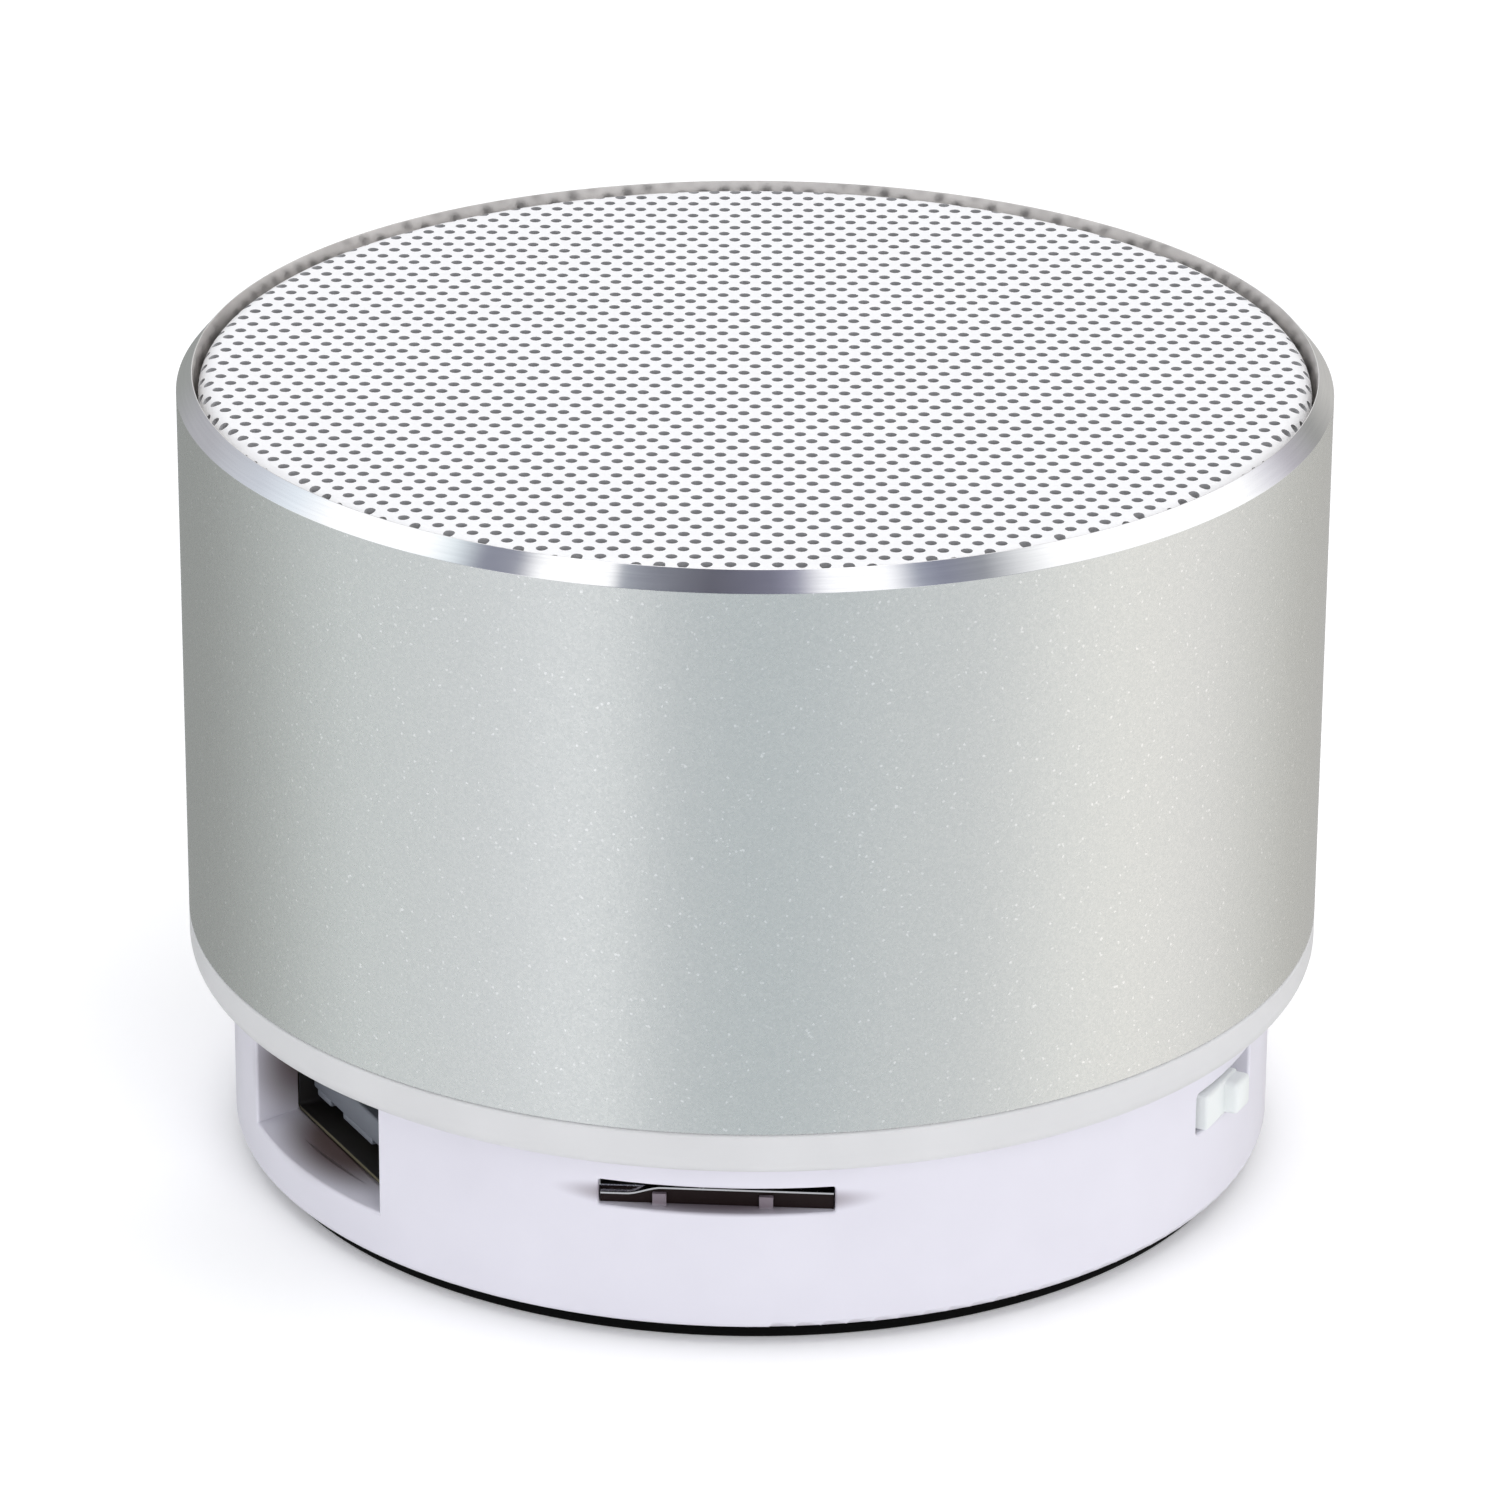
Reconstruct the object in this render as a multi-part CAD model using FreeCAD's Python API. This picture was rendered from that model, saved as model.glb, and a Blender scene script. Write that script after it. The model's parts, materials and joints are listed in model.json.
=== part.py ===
import FreeCAD, Part
import math
import os

# Pocket wireless speaker, standing on its foot pad.
# Origin: centre of the pad's underside. +Z up, -Y is the front with the card slot, +X its right.
# Every port is drawn facing the front and then turned about Z to its azimuth,
# which is counted from the front towards the right-hand side. All sizes are in millimetres.

# ---------------------------------------------------------------- driving dimensions
OUTER_R = 30.0
HEIGHT = 43.0
SHELL_WALL = 1.0
CHAMFER_R = 0.8
CHAMFER_Z = 0.95
GLUE_GAP = 0.1

RING_LOW = 10.6
RING_HIGH = 13.05
RING_TONGUE = 1.95

BASE_R = 27.75
BASE_LOW = 1.0
BASE_TOP = 14.4
BASE_WALL = 1.55
FLOOR_LOW = 1.5
FLOOR_HIGH = 3.0
PORT_EDGE = 0.15
PAD_R = 26.7
PAD_HEIGHT = 1.35

GRILLE_R = 28.87
GRILLE_TOP = 42.75
GRILLE_SKIRT = 3.35
GRILLE_SHEET = 0.6
GRILLE_ROLL = 0.9

PLATE_THICK = 1.2
BAFFLE_LOW = 35.4
BAFFLE_HIGH = 37.4
BAFFLE_BORE = 20.0

BOARD_LOW = 9.55
BOARD_THICK = 1.2
BOARD_R = 25.7

POST_R = 23.3
POST_AZIMUTHS = (32, 107, -112)
BOARD_POSTS = ((-18.0, 12.0), (9.5, -13.0), (6.8, 18.4))
DRIVER_SCREW_R = 24.4
DRIVER_SCREW_AZIMUTHS = (45, 135, 225, 315)

USB_AZIMUTH = -56.3
USB_SKEW = -6.0
USB_CAN = (13.1, 3.85)
CARD_AZIMUTH = -3.6
CARD_OPENING = (11.94, 7.5, 8.9)
POWER_AZIMUTH = 63.8
POWER_WINDOW = (6.98, 6.0, 8.3)
POWER_TRAVEL = 2.2
JOG_AZIMUTH = 140.0
JOG_WINDOW = (6.4, 6.0, 8.3)
JOG_TRAVEL = 1.2
CHARGE_AZIMUTH = 180.0
LED_AZIMUTH = 163.5
LED_Z = 8.3
MIC_AZIMUTH = -160.0
MIC_Z = 6.9
LEAD_AZIMUTH = 135.0

SPIDER_LEVEL = 30.4
MAGNET_LOW = 20.2
MAGNET_HIGH = 26.2
POLE_HIGH = 27.7
COIL_LOW = 24.9
COIL_R = 6.95
CONE_LOW = 32.6
CARD_FLOOR = 8.15
CARD_SHEET = 0.12

# ---------------------------------------------------------------- worked-out levels
SHELL_BORE = OUTER_R - SHELL_WALL
BASE_BORE = BASE_R - BASE_WALL
BOARD_HIGH = BOARD_LOW + BOARD_THICK
PLATE_HIGH = BASE_TOP + PLATE_THICK
FLANGE_LOW = BAFFLE_HIGH + 0.5
FLANGE_HIGH = FLANGE_LOW + 0.8
USB_MOUTH = 25.2
CARD_MOUTH = 26.3
CHARGE_MOUTH = 25.9
KNOB_Z = (POWER_WINDOW[1] + POWER_WINDOW[2]) / 2

os.makedirs("parts", exist_ok=True)


# ---------------------------------------------------------------- drawing helpers
def vec(x, y, z):
    return FreeCAD.Vector(x, y, z)


def rod(radius, low, high, at=(0, 0)):
    """An upright cylinder between two heights."""
    return Part.makeCylinder(radius, high - low, vec(at[0], at[1], low))


def ring(inner, outer, low, high, at=(0, 0)):
    """An upright tube between two heights."""
    return rod(outer, low, high, at).cut(rod(inner, low - 1, high + 1, at))


def reach(radius, low, high, x, z):
    """A cylinder along Y between two values of Y."""
    return Part.makeCylinder(radius, high - low, vec(x, low, z), vec(0, 1, 0))


def block(x, y, z):
    """A box from three (low, high) pairs."""
    return Part.makeBox(x[1] - x[0], y[1] - y[0], z[1] - z[0], vec(x[0], y[0], z[0]))


def turned(outline):
    """A solid of revolution about Z from a closed outline of (radius, z) points."""
    points = [vec(radius, 0, z) for radius, z in outline]
    face = Part.Face(Part.makePolygon(points + points[:1]))
    return face.revolve(vec(0, 0, 0), vec(0, 0, 1), 360)


def tapered(outer, outer_y, inner, inner_y):
    """A solid between two upright rectangles, each an (x, z) pair of (low, high) pairs, at two values of Y."""
    ends = []
    for (x, z), y in ((outer, outer_y), (inner, inner_y)):
        ends.append([vec(x[0], y, z[0]), vec(x[1], y, z[0]), vec(x[1], y, z[1]), vec(x[0], y, z[1])])
    near, far = ends
    sides = [[near[side - 1], near[side], far[side], far[side - 1]] for side in range(4)]
    faces = [Part.Face(Part.makePolygon(loop + loop[:1])) for loop in ends + sides]
    return Part.makeSolid(Part.makeShell(faces))


def fuse(shapes):
    """One solid from several overlapping ones."""
    return shapes[0].multiFuse(shapes[1:]).removeSplitter()


def facing(shape, azimuth):
    """Turn a shape drawn at the front round to its azimuth."""
    turned_shape = shape.copy()
    turned_shape.rotate(vec(0, 0, 0), vec(0, 0, 1), azimuth)
    return turned_shape


def at_usb(shape):
    """Place a shape drawn at the front in the USB port, whose socket stands slightly askew to the wall."""
    skewed = shape.copy()
    skewed.rotate(vec(0, -USB_MOUTH, 0), vec(0, 0, 1), USB_SKEW)
    return facing(skewed, USB_AZIMUTH)


def polar(radius, azimuth):
    """The (x, y) point at a radius and an azimuth."""
    angle = math.radians(azimuth)
    return (radius * math.sin(angle), -radius * math.cos(angle))


def soften_rim(shape, radius, height, size):
    """Round the circular edges of one radius at one height."""
    edges = []
    for edge in shape.Edges:
        curve = edge.Curve
        if isinstance(curve, Part.Circle) and abs(curve.Radius - radius) < 1e-4:
            if abs(curve.Center.z - height) < 1e-4:
                edges.append(edge)
    return shape.makeFillet(size, edges)


def soften_along(shape, direction, size):
    """Round the straight edges that run along one direction."""
    edges = []
    for edge in shape.Edges:
        start, end = edge.Vertexes[0].Point, edge.Vertexes[-1].Point
        run = end - start
        if run.Length > 1e-6 and abs(abs(run.normalize().dot(direction)) - 1) < 1e-6:
            edges.append(edge)
    return shape.makeFillet(size, edges)


def soften_mouths(shape, radius, heights, size):
    """Round the edges where openings break through a cylinder's outer face."""
    edges = []
    for edge in shape.Edges:
        first, last = edge.ParameterRange
        points = [edge.valueAt(first + (last - first) * step / 4) for step in range(5)]
        on_wall = all(abs(math.hypot(point.x, point.y) - radius) < 1e-4 for point in points)
        if on_wall and all(heights[0] < point.z < heights[1] for point in points):
            edges.append(edge)
    return shape.makeFillet(size, edges)


def bar(width, low, high, y, corner):
    """A bar along Y, centred on X = 0, with rounded corners."""
    shape = block((-width / 2, width / 2), y, (low, high))
    return soften_along(shape, vec(0, 1, 0), corner)


def wire(points, radius):
    """A round lead along straight runs joined by arcs as large as the runs allow."""
    nodes = [vec(*point) for point in points]
    edges = []
    start = nodes[0]
    for before, corner, after in zip(nodes, nodes[1:], nodes[2:]):
        into = (corner - before).normalize()
        out = (after - corner).normalize()
        trim = 0.45 * min((corner - before).Length, (after - corner).Length)
        first, last = corner - into * trim, corner + out * trim
        half_turn = into.getAngle(out) / 2
        inward = (out - into).normalize()
        bend = trim / math.tan(half_turn)
        middle = corner + inward * (bend / math.cos(half_turn) - bend)
        edges.append(Part.LineSegment(start, first).toShape())
        edges.append(Part.Arc(first, middle, last).toShape())
        start = last
    edges.append(Part.LineSegment(start, nodes[-1]).toShape())
    path = Part.Wire(edges)
    section = Part.Wire(Part.makeCircle(radius, nodes[0], nodes[1] - nodes[0]))
    return path.makePipeShell([section], True, True)


def save(node, *solids):
    """Write one sub-part, as one solid or as a group of separate solids."""
    shape = solids[0] if len(solids) == 1 else Part.makeCompound(list(solids))
    if not shape.isValid() or not shape.Solids:
        raise ValueError(node + " is not a valid solid")
    shape.exportStep("parts/" + node + ".step")
    print("%-24s %2d solids %9.1f mm3" % (node, len(shape.Solids), shape.Volume))


# ---------------------------------------------------------------- outer casing
def shell():
    """Straight aluminium tube with a bright bevel round its mouth and a counterbore for the grille."""
    counterbore = OUTER_R - CHAMFER_R - 0.05
    seat = GRILLE_TOP - GRILLE_SKIRT - 0.5
    return turned([
        (SHELL_BORE, RING_HIGH), (OUTER_R, RING_HIGH), (OUTER_R, HEIGHT - CHAMFER_Z),
        (OUTER_R - CHAMFER_R, HEIGHT), (counterbore, HEIGHT),
        (counterbore, seat), (SHELL_BORE, seat)])


def grille():
    """Drawn steel cap with a rolled edge; its skirt fits over the carrier's rim."""
    inner = GRILLE_R - GRILLE_SHEET
    skirt_low = GRILLE_TOP - GRILLE_SKIRT
    ceiling = GRILLE_TOP - GRILLE_SHEET
    cap = turned([
        (0, ceiling), (inner, ceiling), (inner, skirt_low), (GRILLE_R, skirt_low),
        (GRILLE_R, GRILLE_TOP), (0, GRILLE_TOP)])
    cap = soften_rim(cap, GRILLE_R, GRILLE_TOP, GRILLE_ROLL)
    return soften_rim(cap, inner, ceiling, GRILLE_ROLL - GRILLE_SHEET)


def trim_ring():
    """Plastic ring flush with the shell; its tongue centres the shell on the base."""
    inner = BASE_R + GLUE_GAP
    tongue = SHELL_BORE - GLUE_GAP
    body = turned([
        (inner, RING_LOW), (OUTER_R, RING_LOW), (OUTER_R, RING_HIGH), (tongue, RING_HIGH),
        (tongue, RING_HIGH + RING_TONGUE), (inner, RING_HIGH + RING_TONGUE)])
    body = soften_rim(body, OUTER_R, RING_LOW, 1.1)
    return soften_rim(body, OUTER_R, RING_HIGH, 0.25)


def base_cup():
    """Plastic cup that carries the board, the battery and every port."""
    cup = turned([
        (0, FLOOR_LOW), (PAD_R + 0.15, FLOOR_LOW), (PAD_R + 0.15, BASE_LOW), (BASE_R, BASE_LOW),
        (BASE_R, BASE_TOP), (BASE_BORE, BASE_TOP), (BASE_BORE, FLOOR_HIGH), (0, FLOOR_HIGH)])
    cup = soften_rim(cup, BASE_R, BASE_LOW, 0.4)
    bosses = [rod(3.05, FLOOR_LOW, BASE_TOP, polar(POST_R, azimuth)) for azimuth in POST_AZIMUTHS]
    bosses += [rod(1.9, FLOOR_LOW, BOARD_LOW, at) for at in BOARD_POSTS]
    frame = block((-7.2, 7.2), (-26.0, -24.3), (FLOOR_LOW + 1, BOARD_LOW - 0.15))
    cup = fuse([cup] + bosses + [facing(frame, USB_AZIMUTH)])

    cuts = []
    for azimuth in POST_AZIMUTHS:
        at = polar(POST_R, azimuth)
        cuts.append(rod(2.1, 0, 8.0, at))
        cuts.append(rod(1.25, 7.0, BASE_TOP + 1, at))
    cuts += [rod(0.82, 4.2, BOARD_LOW + 1, at) for at in BOARD_POSTS]

    through = (-BASE_R - 2, -BASE_BORE + 3)
    funnel = tapered(((-6.6, 6.1), (3.3, 9.7)), through[0], ((-6.2, 6.1), (4.0, 9.7)), -24.2)
    cuts.append(facing(funnel, USB_AZIMUTH))
    cuts.append(at_usb(bar(USB_CAN[0] + 0.2, USB_CAN[1] - 0.1, BOARD_LOW + 1, (-USB_MOUTH - 0.05, -20), 0.5)))
    cuts.append(facing(bar(*CARD_OPENING, through, 0.12), CARD_AZIMUTH))
    pocket = block((-6.15, 6.15), (-CARD_MOUTH - 0.05, -24), (7.4, BOARD_LOW))
    cuts.append(facing(pocket, CARD_AZIMUTH))
    cuts.append(facing(bar(*POWER_WINDOW, through, 0.25), POWER_AZIMUTH))
    cuts.append(facing(bar(*JOG_WINDOW, through, 0.25), JOG_AZIMUTH))
    cuts.append(facing(bar(8.4, 6.6, 10.0, through, 1.2), CHARGE_AZIMUTH))
    cuts.append(facing(reach(1.0, *through, 0, LED_Z), LED_AZIMUTH))
    cuts.append(facing(reach(0.5, *through, 0, MIC_Z), MIC_AZIMUTH))
    cup = cup.cut(Part.makeCompound(cuts))

    cup = soften_mouths(cup, BASE_R, (2.0, 10.3), PORT_EDGE)
    ribs = [block((x, x + 0.7), (-27.0, -CARD_MOUTH - 0.05), (7.3, CARD_FLOOR)) for x in (-3.25, 2.15)]
    return fuse([cup] + [facing(rib, CARD_AZIMUTH) for rib in ribs])


def foot_pad():
    """Anti-slip rubber disc set into the underside."""
    return soften_rim(rod(PAD_R, 0, PAD_HEIGHT), PAD_R, 0, 0.2)


def driver_carrier():
    """Inner sleeve and baffle: holds the driver, backs the shell and seats the grille."""
    sleeve_r = SHELL_BORE - GLUE_GAP
    rim_r = GRILLE_R - GRILLE_SHEET - 0.12
    sleeve_low = RING_HIGH + RING_TONGUE + GLUE_GAP
    body = turned([
        (27.4, sleeve_low), (sleeve_r, sleeve_low), (sleeve_r, BAFFLE_HIGH), (rim_r, BAFFLE_HIGH),
        (rim_r, GRILLE_TOP - GRILLE_SHEET - 0.15), (27.0, GRILLE_TOP - GRILLE_SHEET - 0.15),
        (27.0, BAFFLE_HIGH), (BAFFLE_BORE, BAFFLE_HIGH), (BAFFLE_BORE, BAFFLE_LOW), (27.4, BAFFLE_LOW)])
    posts = []
    holes = []
    for azimuth in POST_AZIMUTHS:
        at = polar(POST_R, azimuth)
        posts.append(rod(2.6, PLATE_HIGH, BAFFLE_LOW + 0.5, at))
        web = block((-0.75, 0.75), (-27.8, -POST_R - 1.5), (PLATE_HIGH, BAFFLE_LOW + 0.5))
        posts.append(facing(web, azimuth))
        holes.append(rod(1.15, PLATE_HIGH - 1, 22.5, at))
    for azimuth in DRIVER_SCREW_AZIMUTHS:
        at = polar(DRIVER_SCREW_R, azimuth)
        posts.append(rod(2.0, 31.0, BAFFLE_LOW + 0.5, at))
        holes.append(rod(1.0, 31.3, BAFFLE_HIGH + 1, at))
    return fuse([body] + posts).cut(Part.makeCompound(holes))


def chamber_plate():
    """Closes the acoustic chamber off from the electronics."""
    plate = rod(27.3, BASE_TOP, PLATE_HIGH)
    for azimuth in POST_AZIMUTHS:
        plate = plate.cut(rod(1.3, BASE_TOP - 1, PLATE_HIGH + 1, polar(POST_R, azimuth)))
    window = block((-3.1, 3.1), (-19.0, -16.6), (BASE_TOP - 1, PLATE_HIGH + 1))
    return plate.cut(facing(window, LEAD_AZIMUTH))


def pan_screw(at, head_r, shank_r, seat, head, length, up):
    """A pan-head screw standing on its seat, pointing up or down."""
    way = 1 if up else -1
    shank = rod(shank_r, min(seat, seat + way * length), max(seat, seat + way * length), at)
    cap = rod(head_r, min(seat, seat - way * head), max(seat, seat - way * head), at)
    cap = soften_rim(cap, head_r, seat - way * head, 0.35 * head)
    return fuse([cap, shank])


# ---------------------------------------------------------------- loudspeaker driver
def driver_basket():
    """Pressed steel frame with four windows, four ears and a ledge for the spider."""
    body = turned([
        (8.0, POLE_HIGH), (15.4, POLE_HIGH), (15.9, SPIDER_LEVEL - 0.2), (19.5, 35.0), (19.7, FLANGE_LOW),
        (22.5, FLANGE_LOW), (22.5, FLANGE_HIGH), (18.9, FLANGE_HIGH), (18.7, 35.2),
        (15.3, SPIDER_LEVEL), (13.0, SPIDER_LEVEL), (13.0, POLE_HIGH + 0.8), (8.0, POLE_HIGH + 0.8)])
    ears = []
    for azimuth in DRIVER_SCREW_AZIMUTHS:
        ears.append(rod(2.3, FLANGE_LOW, FLANGE_HIGH, polar(DRIVER_SCREW_R, azimuth)))
        neck = block((-2.3, 2.3), (-DRIVER_SCREW_R, -21.0), (FLANGE_LOW, FLANGE_HIGH))
        ears.append(facing(neck, azimuth))
    bracket = block((-1.2, 1.2), (-16.6, -15.2), (28.2, 29.4))
    body = fuse([body] + ears + [facing(bracket, LEAD_AZIMUTH)])
    for azimuth in DRIVER_SCREW_AZIMUTHS:
        body = body.cut(rod(1.05, FLANGE_LOW - 1, FLANGE_HIGH + 1, polar(DRIVER_SCREW_R, azimuth)))
    for azimuth in (0, 90, 180, 270):
        window = soften_along(block((-7, 7), (-22, -12), (30.9, 35.3)), vec(0, 1, 0), 1.5)
        body = body.cut(facing(window, azimuth))
    return body


def yoke():
    """Back plate and pole piece in one steel part."""
    low = MAGNET_LOW - 2.0
    return turned([
        (0, low), (15.2, low), (15.2, MAGNET_LOW), (6.5, MAGNET_LOW), (6.5, POLE_HIGH), (0, POLE_HIGH)])


def cone():
    """Paper cone with a flat lip for the surround."""
    lip = FLANGE_HIGH - 0.3
    return turned([
        (COIL_R + 0.02, CONE_LOW), (15.9, lip), (17.2, lip), (17.2, lip + 0.3), (15.8, lip + 0.3),
        (COIL_R + 0.02, CONE_LOW + 0.35)])


def dust_cap():
    """Thin dome over the coil."""
    rise, spread, low, sheet = 2.2, 7.5, 33.3, 0.3
    bend = (spread ** 2 + rise ** 2) / (2 * rise)
    centre = vec(0, 0, low + rise - bend)
    dome = Part.makeSphere(bend, centre).cut(Part.makeSphere(bend - sheet, centre))
    return dome.common(rod(spread + 1, low, low + rise + 1))


def surround():
    """Rubber half roll between the cone's lip and the basket's flange."""
    low, sheet, middle, bend = FLANGE_HIGH, 0.3, 18.6, 1.25
    roll = turned([
        (middle - bend - sheet, low), (middle + bend + sheet, low),
        (middle + bend + sheet, low + 3), (middle - bend - sheet, low + 3)])
    torus = Part.makeTorus(middle, bend + sheet, vec(0, 0, low), vec(0, 0, 1))
    bore = Part.makeTorus(middle, bend, vec(0, 0, low), vec(0, 0, 1))
    roll = roll.common(torus).cut(bore)
    inner_lip = ring(16.0, middle - bend - 0.05, low, low + sheet)
    outer_lip = ring(middle + bend + 0.05, 21.8, low, low + sheet)
    return fuse([roll, inner_lip, outer_lip])


def spider():
    """Corrugated fabric disc that centres the coil."""
    start, crest_end, edge, sheet, waves = COIL_R + 0.02, 12.9, 14.9, 0.25, 3
    steps = 36
    upper = []
    lower = []
    for step in range(steps + 1):
        radius = start + (crest_end - start) * step / steps
        swing = 0.35 * math.sin(2 * math.pi * waves * step / steps)
        upper.append((radius, SPIDER_LEVEL + sheet + swing))
        lower.append((radius, SPIDER_LEVEL + swing))
    rim = [(edge, SPIDER_LEVEL + sheet), (edge, SPIDER_LEVEL)]
    return turned(upper + rim + lower[::-1])


def terminal_tags():
    """Two brass solder tags on the terminal strip."""
    tags = [block((x - 0.7, x + 0.7), (-18.0, -17.6), (27.2, 30.8)) for x in (-1.9, 1.9)]
    return [facing(tag, LEAD_AZIMUTH) for tag in tags]


def speaker_lead(x):
    """Lead from the board's connector up through the chamber plate to its tag."""
    route = [(x, -17.8, 13.2), (x, -17.8, 17.4), (x, -19.2, 20.6), (x, -17.8, 24.0), (x, -17.8, 27.2)]
    return facing(wire(route, 0.45), LEAD_AZIMUTH)


def build_driver():
    save("driver_basket", driver_basket())
    save("driver_gasket", ring(20.3, 22.3, BAFFLE_HIGH, FLANGE_LOW))
    save("magnet", ring(8.6, 16.0, MAGNET_LOW, MAGNET_HIGH))
    save("top_plate", ring(7.45, 15.0, MAGNET_HIGH, POLE_HIGH))
    save("yoke", yoke())
    save("coil_former", ring(COIL_R - 0.2, COIL_R, COIL_LOW, CONE_LOW + 0.35))
    save("coil_winding", ring(COIL_R, COIL_R + 0.25, COIL_LOW, COIL_LOW + 4.1))
    save("cone", cone())
    save("dust_cap", dust_cap())
    save("surround", surround())
    save("spider", spider())
    save("terminal_strip", facing(block((-3.5, 3.5), (-17.6, -16.6), (27.9, 30.3)), LEAD_AZIMUTH))
    save("terminal_tags", *terminal_tags())
    save("speaker_lead_red", speaker_lead(-1.9))
    save("speaker_lead_black", speaker_lead(1.9))
    screws = [pan_screw(polar(DRIVER_SCREW_R, azimuth), 1.75, 0.95, FLANGE_HIGH, 1.2, 7.0, False)
              for azimuth in DRIVER_SCREW_AZIMUTHS]
    save("driver_screws", *screws)


# ---------------------------------------------------------------- ports
def usb_shell():
    """Folded steel shell of the USB-A socket, open at the front."""
    width, low = USB_CAN
    outer = bar(width, low, BOARD_LOW, (-USB_MOUTH, -13.4), 0.5)
    hollow = bar(width - 0.6, low + 0.3, BOARD_LOW - 0.3, (-USB_MOUTH - 1, -13.7), 0.25)
    return at_usb(outer.cut(hollow))


def usb_tongue():
    """Insulator with its blade inside the socket."""
    blade = block((-5.45, 5.45), (-USB_MOUTH + 0.5, -14.2), (5.15, 6.95))
    heel = block((-6.1, 6.1), (-15.2, -13.7), (4.3, BOARD_LOW - 0.45))
    return at_usb(fuse([blade, heel]))


def usb_contacts():
    """Four spring contacts along the blade's lower face."""
    strips = []
    for x in (-3.5, -1.0, 1.0, 3.5):
        blade = block((x - 0.5, x + 0.5), (-USB_MOUTH + 1.2, -15.4), (4.87, 5.15))
        strips.append(at_usb(soften_along(blade, vec(1, 0, 0), 0.12)))
    return strips


def card_shell():
    """Thin steel shell of the memory-card socket."""
    outer = block((-6.05, 6.05), (-CARD_MOUTH, -15.4), (CARD_FLOOR, BOARD_LOW - 0.05))
    side, low = 6.05 - CARD_SHEET, CARD_FLOOR + CARD_SHEET
    hollow = block((-side, side), (-CARD_MOUTH - 1, -15.4 - CARD_SHEET), (low, BOARD_LOW - 0.17))
    return facing(outer.cut(hollow), CARD_AZIMUTH)


def card_insulator():
    """Dark moulding under the card socket's shell."""
    return facing(block((-5.95, 5.95), (-CARD_MOUTH, -15.4), (7.5, CARD_FLOOR)), CARD_AZIMUTH)


def card_contacts():
    """Eight spring contacts inside the card socket."""
    low = CARD_FLOOR + CARD_SHEET
    pitch = 1.1
    strips = []
    for index in range(8):
        x = (index - 3.5) * pitch
        strips.append(facing(block((x - 0.3, x + 0.3), (-21.0, -17.0), (low, low + 0.16)), CARD_AZIMUTH))
    return strips


def charge_shell():
    """Steel shell of the micro-USB charging socket."""
    outer = bar(7.5, 7.05, BOARD_LOW, (-CHARGE_MOUTH, -20.6), 0.5)
    hollow = bar(6.9, 7.35, BOARD_LOW - 0.3, (-CHARGE_MOUTH - 1, -20.9), 0.3)
    return facing(outer.cut(hollow), CHARGE_AZIMUTH)


def charge_tongue():
    """Insulator blade inside the charging socket."""
    blade = block((-2.2, 2.2), (-CHARGE_MOUTH + 0.9, -21.5), (8.45, 8.95))
    heel = block((-3.3, 3.3), (-22.0, -20.9), (7.5, BOARD_LOW - 0.45))
    return facing(fuse([blade, heel]), CHARGE_AZIMUTH)


def switch_body(azimuth, front, half_width, slot_half):
    """Body of a side-acting switch with a slot for its actuator."""
    body = block((-half_width, half_width), (-front, -front + 3.8), (5.2, BOARD_LOW))
    slot = block((-slot_half, slot_half), (-front - 1, -front + 1.4), (KNOB_Z - 0.75, KNOB_Z + 0.75))
    return facing(body.cut(slot), azimuth)


def actuator(azimuth, centre):
    """Actuator stub between the switch body and its knob."""
    stub = block((centre - 0.8, centre + 0.8), (-24.8, -23.3), (KNOB_Z - 0.6, KNOB_Z + 0.6))
    return facing(stub, azimuth)


def knob(azimuth, plate, nub, ridge):
    """Knob: a plate behind the window, a nub through it and a raised thumb ridge."""
    back = block(plate, (-25.3, -24.8), (KNOB_Z - 1.55, KNOB_Z + 1.55))
    stalk = block(nub, (-27.95, -25.2), (KNOB_Z - 1.0, KNOB_Z + 1.0))
    stalk = soften_along(stalk, vec(0, 1, 0), 0.2)
    grip = block(ridge, (-28.7, -27.0), (KNOB_Z - 0.9, KNOB_Z + 0.9))
    grip = soften_along(grip, vec(0, 0, 1), 0.3)
    return facing(fuse([back, stalk, grip]), azimuth)


def build_ports():
    save("usb_shell", usb_shell())
    save("usb_tongue", usb_tongue())
    save("usb_contacts", *usb_contacts())
    save("card_socket_shell", card_shell())
    save("card_socket_body", card_insulator())
    save("card_socket_contacts", *card_contacts())
    save("charge_port_shell", charge_shell())
    save("charge_port_tongue", charge_tongue())

    half_window = POWER_WINDOW[0] / 2
    nub_low = -half_window + 0.35
    nub = (nub_low, nub_low + 4.0)
    save("power_switch_body", switch_body(POWER_AZIMUTH, 24.5, 4.3, 2.05))
    save("power_switch_actuator", actuator(POWER_AZIMUTH, -POWER_TRAVEL / 2))
    save("power_switch_knob", knob(POWER_AZIMUTH, (-5.8, 3.8), nub, (nub[1] - 1.75, nub[1])))
    save("jog_switch_body", switch_body(JOG_AZIMUTH, 24.1, 3.6, 0.95))
    save("jog_switch_actuator", actuator(JOG_AZIMUTH, 0))
    save("jog_switch_knob", knob(JOG_AZIMUTH, (-4.6, 4.6), (-1.6, 1.6), (-0.7, 0.7)))

    save("status_led", facing(reach(0.95, -27.5, -24.0, 0, LED_Z), LED_AZIMUTH))
    save("microphone", facing(reach(2.0, -25.4, -23.9, 0, MIC_Z), MIC_AZIMUTH))
    boot = reach(2.5, -25.9, -23.9, 0, MIC_Z).cut(reach(2.0, -25.4, -23.0, 0, MIC_Z))
    boot = boot.cut(reach(0.5, -27.0, -23.0, 0, MIC_Z))
    save("microphone_boot", facing(boot, MIC_AZIMUTH))


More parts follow.
